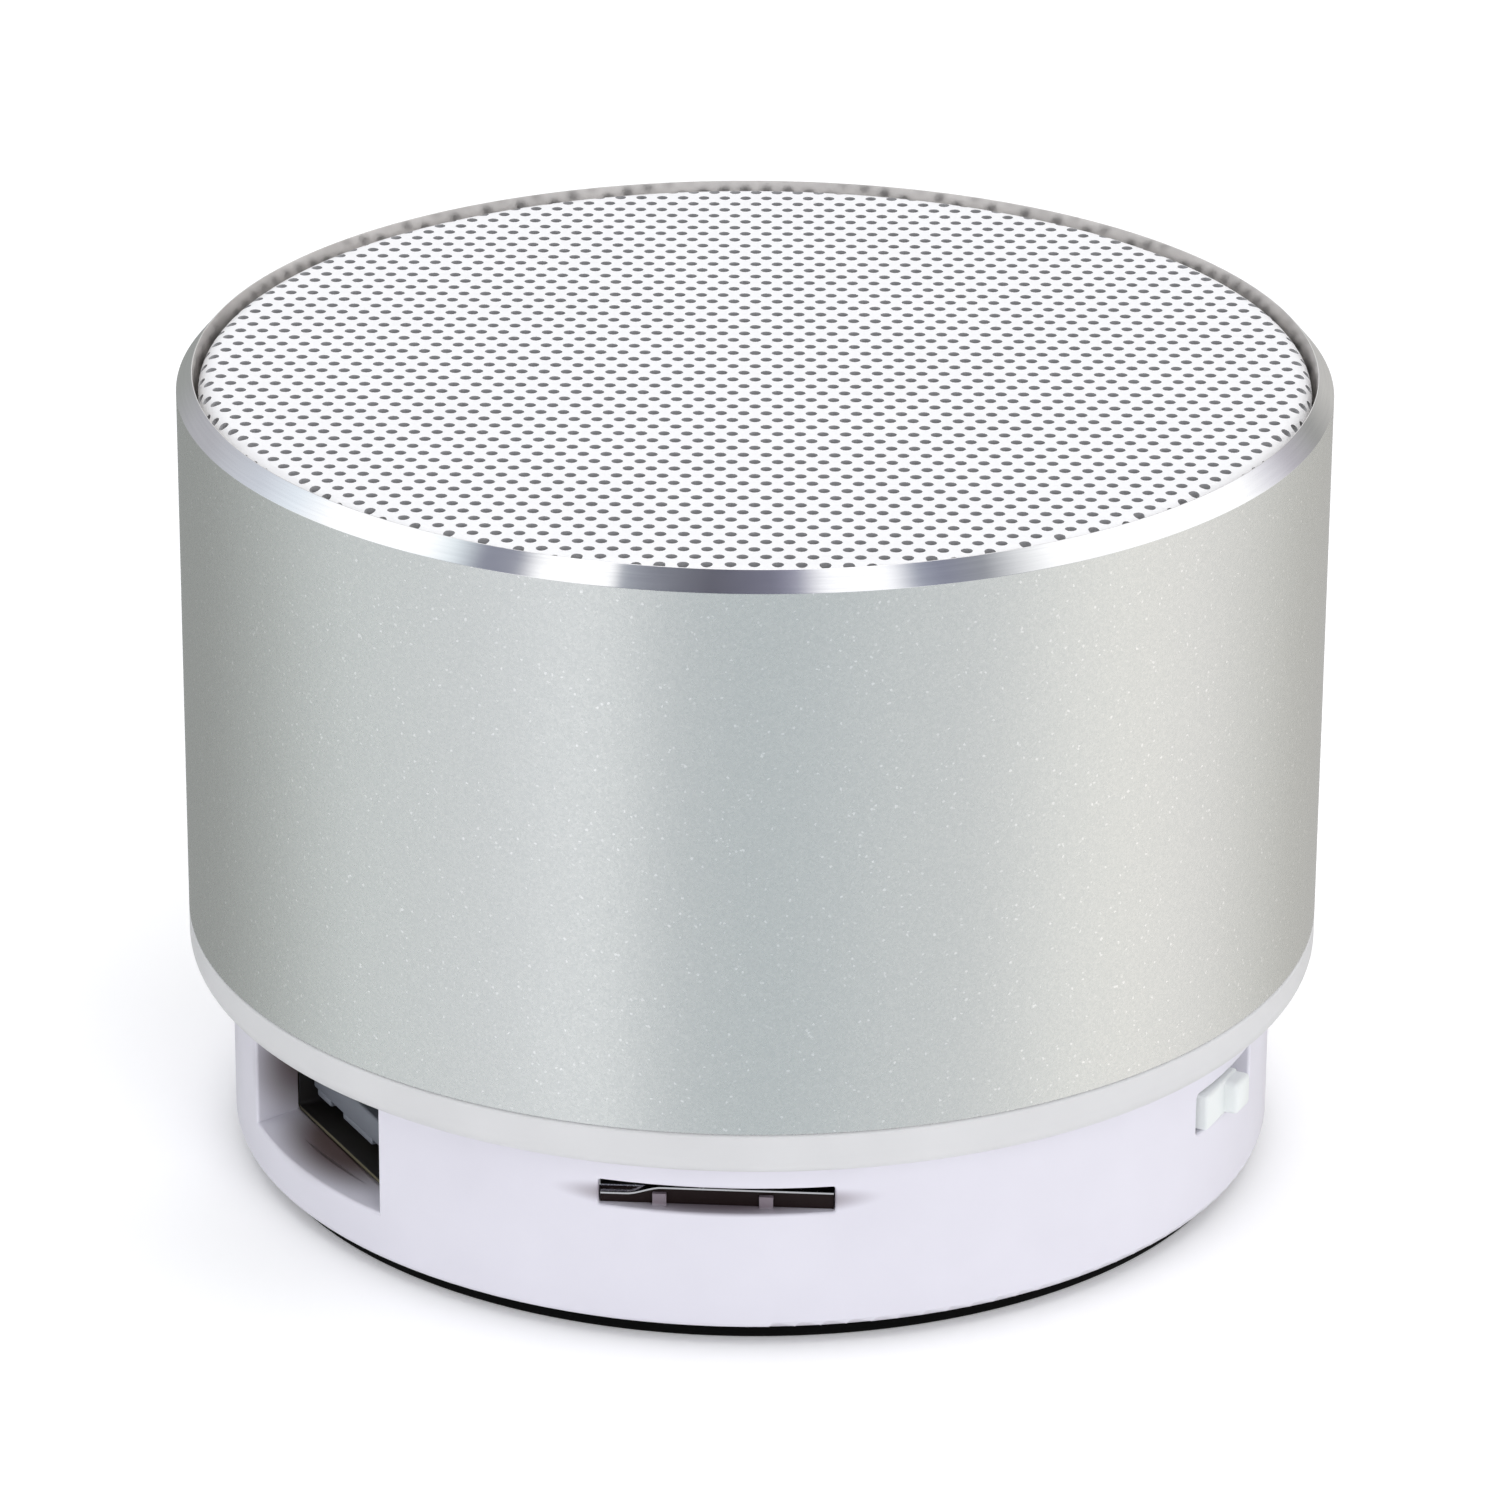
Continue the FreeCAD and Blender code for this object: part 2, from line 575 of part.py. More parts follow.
# ---------------------------------------------------------------- board and battery
def main_board():
    """Round circuit board with clearance for the casing's bosses."""
    board = rod(BOARD_R, BOARD_LOW, BOARD_HIGH)
    for azimuth in POST_AZIMUTHS:
        board = board.cut(rod(3.2, BOARD_LOW - 1, BOARD_HIGH + 1, polar(POST_R, azimuth)))
    for at in BOARD_POSTS:
        board = board.cut(rod(0.9, BOARD_LOW - 1, BOARD_HIGH + 1, at))
    return board


def battery_cell():
    """Soft lithium pouch cell with rounded long edges."""
    cell = block((-11, 18), (-6, 12.5), (3.3, 8.3))
    return soften_along(cell, vec(1, 0, 0), 1.6)


def battery_lead(y):
    """Lead from the cell's end up to the board."""
    return wire([(-11, y, 6.0), (-14.2, y, 6.0), (-14.2, y, BOARD_LOW)], 0.4)


def build_board():
    save("main_board", main_board())
    save("wireless_module", block((-15, -3), (-9, 6), (BOARD_HIGH, BOARD_HIGH + 2.2)))
    save("amplifier_chip", block((4, 9), (-4, 2), (BOARD_HIGH, BOARD_HIGH + 1.5)))
    inductors = [block((x, x + 4), (5, 9), (BOARD_HIGH, BOARD_HIGH + 2)) for x in (2, 8)]
    save("filter_inductors", *[soften_along(shape, vec(0, 0, 1), 0.6) for shape in inductors])
    capacitors = [block((x, x + 1.6), (-9, -5.8), (BOARD_HIGH, BOARD_HIGH + 1.6)) for x in (0, 3, 6, 15)]
    save("capacitors", *capacitors)
    connector = block((-3.0, 3.0), (-19.3, -16.3), (BOARD_HIGH, 13.2))
    save("speaker_connector", facing(connector, LEAD_AZIMUTH))
    save("battery_cell", battery_cell())
    save("battery_tape", block((-8, 15), (-3, 9.5), (FLOOR_HIGH, 3.3)))
    save("battery_lead_red", battery_lead(2.5))
    save("battery_lead_black", battery_lead(5.5))
    screws = [pan_screw(at, 1.4, 0.78, BOARD_HIGH, 1.0, 6.2, False) for at in BOARD_POSTS]
    save("board_screws", *screws)


def build_casing():
    save("shell", shell())
    save("grille", grille())
    save("trim_ring", trim_ring())
    save("base_cup", base_cup())
    save("foot_pad", foot_pad())
    save("pad_adhesive", rod(PAD_R - 0.4, PAD_HEIGHT, FLOOR_LOW))
    save("driver_carrier", driver_carrier())
    save("chamber_plate", chamber_plate())
    grommet = block((-3.1, 3.1), (-19.0, -16.6), (BASE_TOP, PLATE_HIGH))
    for x in (-1.9, 1.9):
        grommet = grommet.cut(rod(0.47, BASE_TOP - 1, PLATE_HIGH + 1, (x, -17.8)))
    save("lead_grommet", facing(grommet, LEAD_AZIMUTH))
    screws = [pan_screw(polar(POST_R, azimuth), 1.95, 1.1, 8.0, 1.4, 13.5, True)
              for azimuth in POST_AZIMUTHS]
    save("casing_screws", *screws)


build_casing()
build_driver()
build_ports()
build_board()
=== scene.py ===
"""Looks of a small round portable speaker: studio, camera, materials and the finely made visible pieces.

Everything is in metres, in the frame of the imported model. The front, with the card slot, faces -Y.
"""
import json
import math
from collections import Counter

import bmesh
import bpy
from mathutils import Matrix, Vector, geometry


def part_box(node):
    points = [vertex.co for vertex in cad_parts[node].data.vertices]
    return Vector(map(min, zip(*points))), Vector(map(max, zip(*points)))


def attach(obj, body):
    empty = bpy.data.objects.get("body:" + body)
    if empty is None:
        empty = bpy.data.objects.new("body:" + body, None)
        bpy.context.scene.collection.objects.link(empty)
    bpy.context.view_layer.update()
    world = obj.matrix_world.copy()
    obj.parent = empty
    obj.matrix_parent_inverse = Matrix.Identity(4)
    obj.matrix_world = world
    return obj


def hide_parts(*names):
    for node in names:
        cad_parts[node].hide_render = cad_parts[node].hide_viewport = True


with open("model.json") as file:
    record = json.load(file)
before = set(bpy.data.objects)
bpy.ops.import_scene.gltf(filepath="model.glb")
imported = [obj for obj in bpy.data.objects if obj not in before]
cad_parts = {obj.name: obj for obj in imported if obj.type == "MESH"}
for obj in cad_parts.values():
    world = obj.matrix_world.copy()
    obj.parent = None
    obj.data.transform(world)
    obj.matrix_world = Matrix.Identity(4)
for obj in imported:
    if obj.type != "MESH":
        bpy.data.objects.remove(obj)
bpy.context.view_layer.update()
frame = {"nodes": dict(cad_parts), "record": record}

MM = 0.001
ROUND_STEPS = 288

# ---------------------------------------------------------------- sizes from the frame
SHELL_LOW, SHELL_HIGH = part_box("shell")
RING_LOW, RING_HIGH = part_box("trim_ring")
BASE_LOW, BASE_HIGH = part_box("base_cup")
PAD_LOW, PAD_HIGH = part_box("foot_pad")
GRILLE_LOW, GRILLE_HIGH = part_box("grille")
OUTER_R = SHELL_HIGH.x
TOP = SHELL_HIGH.z
BASE_R = BASE_HIGH.x
GRILLE_R = GRILLE_HIGH.x
GRILLE_TOP = GRILLE_HIGH.z

# ---------------------------------------------------------------- details of the visible pieces
# HOLD is how far beside a rounded corner the extra point goes that keeps the next flat shaded flat.
SHELL_BORE = OUTER_R - 1.0 * MM
CHAMFER_R = 0.8 * MM
CHAMFER_Z = 0.95 * MM
MOUTH_R = OUTER_R - CHAMFER_R - 0.05 * MM
SEAT_Z = GRILLE_TOP - 3.85 * MM
EDGE = 0.04 * MM
HOLD = 0.01 * MM

HOLE_PITCH = 1.15 * MM
HOLE_R = 0.3 * MM
HOLE_SIDES = 12
SHEET = 0.45 * MM
ROLL_R = 0.9 * MM

USB_AZIMUTH = -56.3
USB_SKEW = -6.0
CARD_AZIMUTH = -3.6
POWER_AZIMUTH = 63.8
JOG_AZIMUTH = 140.0
CHARGE_AZIMUTH = 180.0

# Sockets: how far their mouth and back are from the axis, half their width, and their metal's thickness.
USB_MOUTH = 25.2 * MM
USB_BACK = 13.7 * MM
USB_HALF_WIDTH = 6.55 * MM
CARD_MOUTH = 26.3 * MM
CARD_BACK = 15.52 * MM
CARD_HALF_WIDTH = 6.05 * MM
CARD_SHEET = 0.12 * MM
CHARGE_MOUTH = 25.9 * MM
CHARGE_BACK = 20.9 * MM
CHARGE_HALF_WIDTH = 3.75 * MM
SOCKET_SHEET = 0.3 * MM

# What shows in the card slot: a near-black strip across its front and foot, painted shade for the gap under
# the socket, and the metal edge above it.
CARD_FACE = 26.75 * MM
CARD_SILL = 7.52 * MM
CARD_LINE = 8.34 * MM
CARD_LINE_SHEET = 0.09 * MM
CARD_STRIP_HALF = 5.9 * MM

# ---------------------------------------------------------------- camera
CAMERA_ELEVATION = 23.07
CAMERA_DISTANCE = 396.35 * MM
CAMERA_ROLL = 0.35
LOOK_AT = Vector((-0.15 * MM, 0, 21.1 * MM))
LENS = 179.4


# ---------------------------------------------------------------- mesh helpers
def link(name, mesh):
    """A new object with this mesh, at the origin."""
    obj = bpy.data.objects.new(name, mesh)
    bpy.context.scene.collection.objects.link(obj)
    return obj


def finish_mesh(name, bm, materials, sharp=35.0):
    """Turn a bmesh into a smooth-shaded object with hard edges where its faces turn sharply."""
    bmesh.ops.remove_doubles(bm, verts=bm.verts, dist=1e-7)
    bmesh.ops.recalc_face_normals(bm, faces=bm.faces)
    for face in bm.faces:
        face.smooth = True
    mesh = bpy.data.meshes.new(name)
    bm.to_mesh(mesh)
    bm.free()
    mesh.set_sharp_from_angle(angle=math.radians(sharp))
    for material in materials:
        mesh.materials.append(material)
    return link(name, mesh)


def rounded(corners, steps=5):
    """Round the corners of a closed outline of (a, b, radius) points and return (a, b) points.

    A point close beside each end of an arc keeps the shading of the flat next to it flat."""
    outline = []
    count = len(corners)
    for index, (a, b, radius) in enumerate(corners):
        corner = Vector((a, b))
        before = Vector(corners[index - 1][:2]) - corner
        after = Vector(corners[(index + 1) % count][:2]) - corner
        if radius <= 0:
            outline.append((a, b))
            continue
        into, out = before.normalized(), after.normalized()
        half = into.angle(out) / 2
        reach = radius / math.tan(half)
        centre = corner + (into + out).normalized() * (radius / math.sin(half))
        start, end = corner + into * reach - centre, corner + out * reach - centre
        sweep = start.angle_signed(end)
        outline.append(tuple(corner + into * (reach + HOLD)))
        for step in range(steps + 1):
            turn = -sweep * step / steps
            spoke = Matrix.Rotation(turn, 2) @ start
            outline.append(tuple(centre + spoke))
        outline.append(tuple(corner + out * (reach + HOLD)))
    return outline


def turned(name, outline, materials, pick=None, steps=ROUND_STEPS):
    """A solid of revolution from a closed outline of (radius, z) points. pick chooses a face's material."""
    bm = bmesh.new()
    rings = []
    for radius, z in outline:
        if radius < 1e-7:
            rings.append([bm.verts.new((0, 0, z))] * steps)
            continue
        angles = [2 * math.pi * step / steps for step in range(steps)]
        rings.append([bm.verts.new((radius * math.sin(a), -radius * math.cos(a), z)) for a in angles])
    for index, ring in enumerate(rings):
        following = rings[(index + 1) % len(rings)]
        middle = (Vector(outline[index]) + Vector(outline[(index + 1) % len(outline)])) / 2
        for step in range(steps):
            after = (step + 1) % steps
            corners = [ring[step], ring[after], following[after], following[step]]
            unique = [v for at, v in enumerate(corners) if v not in corners[:at]]
            if len(unique) > 2:
                face = bm.faces.new(unique)
                face.material_index = pick(middle) if pick else 0
    return finish_mesh(name, bm, materials)


def turn_to(obj, azimuth, skew=0.0, pivot=0.0):
    """Turn the mesh of a piece drawn at the front round to its azimuth, after a skew about a point on Y."""
    pivot_at = Vector((0, -pivot, 0))
    skewed = Matrix.Translation(pivot_at) @ Matrix.Rotation(math.radians(skew), 4, "Z")
    placed = Matrix.Rotation(math.radians(azimuth), 4, "Z") @ skewed @ Matrix.Translation(-pivot_at)
    obj.data.transform(placed)
    return obj


def add_block(bm, x, y, z, bevel, segments=3):
    """Add a box from three (low, high) pairs, its edges rounded."""
    made = bmesh.ops.create_cube(bm, size=1)["verts"]
    for vert in made:
        vert.co.x = x[0] if vert.co.x < 0 else x[1]
        vert.co.y = y[0] if vert.co.y < 0 else y[1]
        vert.co.z = z[0] if vert.co.z < 0 else z[1]
    edges = list({edge for vert in made for edge in vert.link_edges})
    bmesh.ops.bevel(bm, geom=edges, offset=bevel, segments=segments, affect="EDGES", profile=0.5)


def blocks(name, boxes, material):
    """One piece made of rounded boxes, each given in millimetres with the size of its rounding."""
    bm = bmesh.new()
    for x, y, z, bevel in boxes:
        scaled = [(low * MM, high * MM) for low, high in (x, y, z)]
        add_block(bm, *scaled, bevel * MM)
    return finish_mesh(name, bm, [material])


def fit(obj, node, body):
    """Let a piece stand for a CAD node, whose object it hides, and move with its body."""
    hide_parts(node)
    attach(obj, body)


def socket_outline(half_width, low, high, corner):
    """A rounded rectangle in X and Z."""
    return rounded([(-half_width, low, corner), (half_width, low, corner),
                    (half_width, high, corner), (-half_width, high, corner)], steps=6)


def socket_shell(name, half_width, z, corner, wall, mouth, back, materials):
    """A folded sheet-metal socket: closed at the back, with a rounded lip and a second material inside for
    painted shade.
    """
    low, high = z
    lip = wall * 0.45
    levels = [
        (0.0, -back), (0.0, -mouth + lip), (lip * 0.3, -mouth + lip * 0.3), (lip, -mouth),
        (wall - lip * 0.3, -mouth + lip * 0.3), (wall, -mouth + lip), (wall, -back - wall)]
    bm = bmesh.new()
    rings = []
    for inset, y in levels:
        curve = max(corner - inset, 0.05 * MM)
        outline = socket_outline(half_width - inset, low + inset, high - inset, curve)
        rings.append([bm.verts.new((x, y, level)) for x, level in outline])
    # From this level on, the faces take the second material: the painted shade inside the can.
    first_inside = 4
    for level, (near, far) in enumerate(zip(rings, rings[1:])):
        for index in range(len(near)):
            after = (index + 1) % len(near)
            face = bm.faces.new([near[index], near[after], far[after], far[index]])
            face.material_index = int(level >= first_inside)
    bm.faces.new(rings[0])
    bm.faces.new(rings[-1]).material_index = 1
    return finish_mesh(name, bm, materials)


# ---------------------------------------------------------------- material helpers
class Nodes:
    """A small builder for one material's node tree."""

    def __init__(self, name):
        self.material = bpy.data.materials.new(name)
        self.material.use_nodes = True
        self.tree = self.material.node_tree
        self.shader = self.tree.nodes["Principled BSDF"]
        self.place = self.add("ShaderNodeTexCoord").outputs["Object"]

    def add(self, kind, **values):
        """Add a node and set its properties and its inputs by name."""
        node = self.tree.nodes.new(kind)
        for key, value in values.items():
            if key in node.inputs:
                node.inputs[key].default_value = value
            else:
                setattr(node, key, value)
        return node

    def join(self, source, target):
        self.tree.links.new(source, target)

    def noise(self, size, detail=3.0, roughness=0.5, stretch=(1, 1, 1)):
        """Noise whose features are about this size in metres."""
        mapping = self.add("ShaderNodeMapping")
        mapping.inputs["Scale"].default_value = [factor / size for factor in stretch]
        self.join(self.place, mapping.inputs["Vector"])
        noise = self.add("ShaderNodeTexNoise", Scale=1.0, Detail=detail, Roughness=roughness)
        self.join(mapping.outputs["Vector"], noise.inputs["Vector"])
        return noise.outputs["Fac"]

    def cells(self, size):
        """A random value for each small cell of about this size."""
        mapping = self.add("ShaderNodeMapping")
        mapping.inputs["Scale"].default_value = [1 / size] * 3
        self.join(self.place, mapping.inputs["Vector"])
        cell = self.add("ShaderNodeTexVoronoi", Scale=1.0)
        self.join(mapping.outputs["Vector"], cell.inputs["Vector"])
        return cell.outputs["Color"]

    def ramp(self, value, stops):
        """Map a value through (position, colour or grey) stops."""
        ramp = self.add("ShaderNodeValToRGB")
        elements = ramp.color_ramp.elements
        while len(elements) < len(stops):
            elements.new(0.5)
        for element, (position, colour) in zip(elements, stops):
            element.position = position
            grey = isinstance(colour, (int, float))
            element.color = (colour, colour, colour, 1) if grey else (*colour, 1)
        self.join(value, ramp.inputs["Fac"])
        return ramp.outputs["Color"]

    def paint_shade_within(self, colour, centre, turn, reach, shade, inner, outer):
        """Fade from a painted shade, inside an egg-shaped zone turned about Z, to the colour outside it.

        reach is the zone's half size on each axis; the fade runs from inner to outer times that size."""
        mapping = self.add("ShaderNodeMapping", vector_type="TEXTURE")
        mapping.inputs["Location"].default_value = centre
        mapping.inputs["Rotation"].default_value = (0, 0, turn)
        mapping.inputs["Scale"].default_value = reach
        self.join(self.place, mapping.inputs["Vector"])
        length = self.add("ShaderNodeVectorMath", operation="LENGTH")
        self.join(mapping.outputs["Vector"], length.inputs[0])
        fade = self.add("ShaderNodeMapRange", interpolation_type="SMOOTHSTEP")
        fade.inputs["From Min"].default_value = inner
        fade.inputs["From Max"].default_value = outer
        self.join(length.outputs["Value"], fade.inputs["Value"])
        mix = self.add("ShaderNodeMix", data_type="RGBA")
        mix.inputs[6].default_value = (*shade, 1)
        self.join(colour, mix.inputs[7])
        self.join(fade.outputs["Result"], mix.inputs["Factor"])
        return mix.outputs[2]

    def bump(self, height, depth, strength=1.0, under=None):
        """Raise the surface by a height of at most depth metres."""
        bump = self.add("ShaderNodeBump", Strength=strength, Distance=depth)
        self.join(height, bump.inputs["Height"])
        if under is not None:
            self.join(under, bump.inputs["Normal"])
        self.join(bump.outputs["Normal"], self.shader.inputs["Normal"])
        return bump.outputs["Normal"]

    def set(self, **values):
        """Set constant inputs of the shader, with underscores for spaces."""
        for key, value in values.items():
            self.shader.inputs[key.replace("_", " ")].default_value = value


def place_at(azimuth, radius, z, left=0.0):
    """The point at a radius and height in the direction of an azimuth, moved to the left of it."""
    turn = math.radians(azimuth)
    across, along = math.sin(turn), math.cos(turn)
    return (radius * across - left * along, -radius * along - left * across, z)


def tint(colour, factor):
    """A colour made lighter or darker."""
    return tuple(min(1.0, channel * factor) for channel in colour)


def moulded(name, colour, roughness=0.4, grain=0.15 * MM, depth=0.004 * MM, spread=0.03, **extra):
    """Moulded plastic or rubber: a fine spark-eroded texture and slight colour and gloss variation."""
    nodes = Nodes(name)
    drift = nodes.noise(6 * MM, detail=2.0)
    colours = nodes.ramp(drift, [(0.3, tint(colour, 1 - spread)), (0.7, tint(colour, 1 + spread))])
    nodes.join(colours, nodes.shader.inputs["Base Color"])
    gloss = nodes.noise(1.5 * MM, detail=4.0)
    shine = nodes.ramp(gloss, [(0.3, max(roughness - 0.05, 0)), (0.7, roughness + 0.05)])
    nodes.join(shine, nodes.shader.inputs["Roughness"])
    nodes.bump(nodes.noise(grain, detail=2.0), depth)
    nodes.set(**extra)
    return nodes.material


def base_plastic():
    """Cool white moulded plastic, with painted shade, warmer and darker, deep in the USB mouth and the card
    slot.
    """
    nodes = Nodes("base_white")
    drift = nodes.noise(6 * MM, detail=2.0)
    colour = nodes.ramp(drift, [(0.3, (0.745, 0.73, 0.80)), (0.7, (0.775, 0.76, 0.83))])
    # Painted shade: the colour fades to a warm dark brown deep in the USB mouth.
    usb_at = place_at(USB_AZIMUTH, 24.6 * MM, 6.9 * MM, left=1.0 * MM)
    usb_turn = math.radians(USB_AZIMUTH + USB_SKEW)
    usb_reach = (6.8 * MM, 4.2 * MM, 4.6 * MM)
    usb_painted_shade = (0.12, 0.08, 0.075)
    colour = nodes.paint_shade_within(colour, usb_at, usb_turn, usb_reach, usb_painted_shade, 0.7, 1.15)
    # Painted shade: the colour fades to a dusky grey on the card slot's sill and ribs.
    card_at = place_at(CARD_AZIMUTH, 25.9 * MM, 8.2 * MM)
    card_turn = math.radians(CARD_AZIMUTH)
    card_reach = (7.6 * MM, 2.7 * MM, 1.0 * MM)
    card_painted_shade = (0.22, 0.18, 0.21)
    colour = nodes.paint_shade_within(colour, card_at, card_turn, card_reach, card_painted_shade, 0.75, 1.15)
    nodes.join(colour, nodes.shader.inputs["Base Color"])
    shine = nodes.ramp(nodes.noise(1.5 * MM, detail=4.0), [(0.3, 0.31), (0.7, 0.41)])
    nodes.join(shine, nodes.shader.inputs["Roughness"])
    nodes.bump(nodes.noise(0.15 * MM, detail=2.0), 0.004 * MM)
    return nodes.material


def metal(name, colour, roughness=0.3, grain=0.1 * MM, depth=0.002 * MM, stretch=(1, 1, 1), spread=0.06):
    """Plated or plain metal with fine grain, optionally drawn out along one direction."""
    nodes = Nodes(name)
    nodes.set(Metallic=1.0)
    drift = nodes.noise(3 * MM, detail=4.0)
    colours = nodes.ramp(drift, [(0.3, tint(colour, 1 - spread)), (0.7, tint(colour, 1 + spread))])
    nodes.join(colours, nodes.shader.inputs["Base Color"])
    fine = nodes.noise(grain, detail=3.0, stretch=stretch)
    shine = nodes.ramp(fine, [(0.3, max(roughness - 0.08, 0.02)), (0.7, roughness + 0.08)])
    nodes.join(shine, nodes.shader.inputs["Roughness"])
    nodes.bump(fine, depth)
    return nodes.material


def blasted_aluminium():
    """Bead-blasted, clear-anodised aluminium: fine matt grain with a slight random tone, and scattered
    bright glints painted into the base colour.
    """
    nodes = Nodes("blasted_aluminium")
    nodes.set(Metallic=1.0)
    glints = nodes.cells(0.11 * MM)
    split = nodes.add("ShaderNodeSeparateColor")
    nodes.join(glints, split.inputs["Color"])
    # Cells vary a little in tone. The rare cells that go up to white are painted glints.
    sparkle = nodes.ramp(split.outputs["Red"], [(0.0, (0.74, 0.755, 0.75)), (0.9, (0.80, 0.81, 0.80)),
                                                (0.985, (0.82, 0.83, 0.82)), (0.995, (1.0, 1.0, 1.0))])
    nodes.join(sparkle, nodes.shader.inputs["Base Color"])
    shine = nodes.ramp(split.outputs["Green"], [(0.0, 0.24), (1.0, 0.34)])
    nodes.join(shine, nodes.shader.inputs["Roughness"])
    coarse = nodes.bump(nodes.noise(0.35 * MM, detail=2.0), 0.004 * MM)
    nodes.bump(nodes.noise(0.07 * MM, detail=2.0), 0.004 * MM, under=coarse)
    return nodes.material


def cut_aluminium():
    """Bright diamond-cut bevel with faint turning lines."""
    nodes = Nodes("cut_aluminium")
    nodes.set(Metallic=1.0)
    lines = nodes.noise(0.09 * MM, detail=1.0, stretch=(0.02, 0.02, 1))
    colours = nodes.ramp(lines, [(0.3, (0.90, 0.905, 0.92)), (0.7, (0.95, 0.955, 0.965))])
    nodes.join(colours, nodes.shader.inputs["Base Color"])
    shine = nodes.ramp(nodes.noise(2 * MM), [(0.3, 0.07), (0.7, 0.10)])
    nodes.join(shine, nodes.shader.inputs["Roughness"])
    nodes.bump(lines, 0.0004 * MM)
    return nodes.material


def slot_materials():
    """Finishes by the record's slot, and a few more that only the finely made pieces use."""
    return {
        "base_plastic": base_plastic(),
        "knob_plastic": moulded("knob_white", (0.82, 0.85, 0.84), 0.38),
        "trim_plastic": moulded("trim_grey", (0.66, 0.66, 0.665), 0.42),
        "grille_paint": moulded("powder_coat", (0.93, 0.93, 0.94), 0.42, 0.12 * MM, 0.006 * MM, 0.01),
        # Hole walls: mid grey where the coat is really white. This is painted shade that darkens the holes.
        "hole_wall_painted_shade": moulded("painted_shade_coat", (0.42, 0.42, 0.43), 0.6, 0.12 * MM, 0.006 * MM),
        "shell_bore": metal("turned_bore", (0.80, 0.775, 0.75), 0.42),
        # Steel darkened to a dark olive: painted shade of the USB recess.
        "socket_lip": metal("usb_lip_painted_shade", (0.20, 0.18, 0.11), 0.35),
        # Near black on the inside of the socket cans: painted shade.
        "socket_inside_painted_shade": moulded("socket_shadow", (0.012, 0.011, 0.010), 0.5),
        "card_edge": metal("card_nickel", (0.75, 0.72, 0.74), 0.2),
        "inner_plastic": moulded("inner_black", (0.03, 0.03, 0.032), 0.5),
        "pad_rubber": moulded("pad_black", (0.003, 0.003, 0.003), 0.85, 0.25 * MM, 0.02 * MM, 0.15,
                              Specular_IOR_Level=0.08),
        "foam": moulded("foam_black", (0.035, 0.035, 0.038), 0.9, 0.3 * MM, 0.05 * MM, 0.2),
        "basket_steel": moulded("basket_coat", (0.022, 0.022, 0.024), 0.45, 0.3 * MM),
        "zinc_steel": metal("zinc_plate", (0.60, 0.61, 0.62), 0.32),
        "ferrite": moulded("ferrite_black", (0.04, 0.04, 0.043), 0.55, 0.2 * MM, 0.012 * MM),
        "copper": metal("enamelled_copper", (0.72, 0.30, 0.14), 0.3, 0.12 * MM, 0.02 * MM, (0.05, 0.05, 1)),
        "former_film": moulded("amber_film", (0.50, 0.30, 0.10), 0.35),
        "cone_paper": moulded("cone_pulp", (0.020, 0.020, 0.022), 0.75, 0.4 * MM, 0.03 * MM, 0.3),
        "surround_rubber": moulded("surround_black", (0.016, 0.016, 0.017), 0.48, 0.3 * MM),
        "spider_cloth": moulded("dipped_cloth", (0.45, 0.30, 0.13), 0.85, 0.25 * MM, 0.04 * MM, 0.2),
        "screw_steel": metal("black_zinc", (0.18, 0.18, 0.19), 0.35),
        "gold_contact": metal("gold_flash", (0.85, 0.62, 0.26), 0.22),
        "socket_steel": metal("nickel_plate", (0.66, 0.67, 0.69), 0.24),
        "tongue_plastic": moulded("tongue_blue_grey", (0.17, 0.185, 0.215), 0.42),
        # Near black. On the strip in the card slot it is painted shade for the gap under the socket.
        "socket_plastic": moulded("socket_brown", (0.014, 0.007, 0.007), 0.6, Specular_IOR_Level=0.2),
        "board_laminate": moulded("solder_mask", (0.015, 0.13, 0.05), 0.28, 0.6 * MM, 0.01 * MM, 0.12),
        "chip_epoxy": moulded("chip_black", (0.025, 0.025, 0.026), 0.5),
        "connector_plastic": moulded("nylon_natural", (0.72, 0.69, 0.60), 0.45),
        "pouch_foil": metal("pouch_silver", (0.62, 0.63, 0.65), 0.38, 1.2 * MM, 0.02 * MM),
        "wire_red": moulded("wire_red", (0.50, 0.012, 0.012), 0.4),
        "wire_black": moulded("wire_black", (0.015, 0.015, 0.015), 0.4),
        "led_lens": moulded("led_clear", (0.75, 0.80, 0.90), 0.12, Transmission_Weight=0.6),
    }


# ---------------------------------------------------------------- pieces
def make_shell(finishes):
    """Aluminium sleeve with micro-rounded edges, the bright bevel and a plain bore."""
    def finish_at(point):
        if point[1] > TOP - CHAMFER_Z and point[0] > MOUTH_R + EDGE / 2:
            return 1
        return 2 if point[0] < OUTER_R - CHAMFER_R else 0

    outline = rounded([
        (SHELL_BORE, SHELL_LOW.z, EDGE), (OUTER_R, SHELL_LOW.z, EDGE),
        (OUTER_R, TOP - CHAMFER_Z, EDGE * 0.6), (OUTER_R - CHAMFER_R, TOP, EDGE * 0.3),
        (MOUTH_R, TOP, EDGE * 0.3), (MOUTH_R, SEAT_Z, 0), (SHELL_BORE, SEAT_Z, 0)], steps=3)
    materials = [blasted_aluminium(), cut_aluminium(), finishes["shell_bore"]]
    fit(turned("shell_sleeve", outline, materials, finish_at, 360), "shell", "housing")


def hole_centres(limit):
    """Centres of a hexagonal hole pattern with its rows along X."""
    row_step = HOLE_PITCH * math.sqrt(3) / 2
    rows = int(limit / row_step) + 1
    columns = int(limit / HOLE_PITCH) + 1
    for row in range(-rows, rows + 1):
        for column in range(-columns, columns + 1):
            centre = Vector(((column + 0.5 * (row % 2)) * HOLE_PITCH, row * row_step))
            if centre.length <= limit:
                yield centre


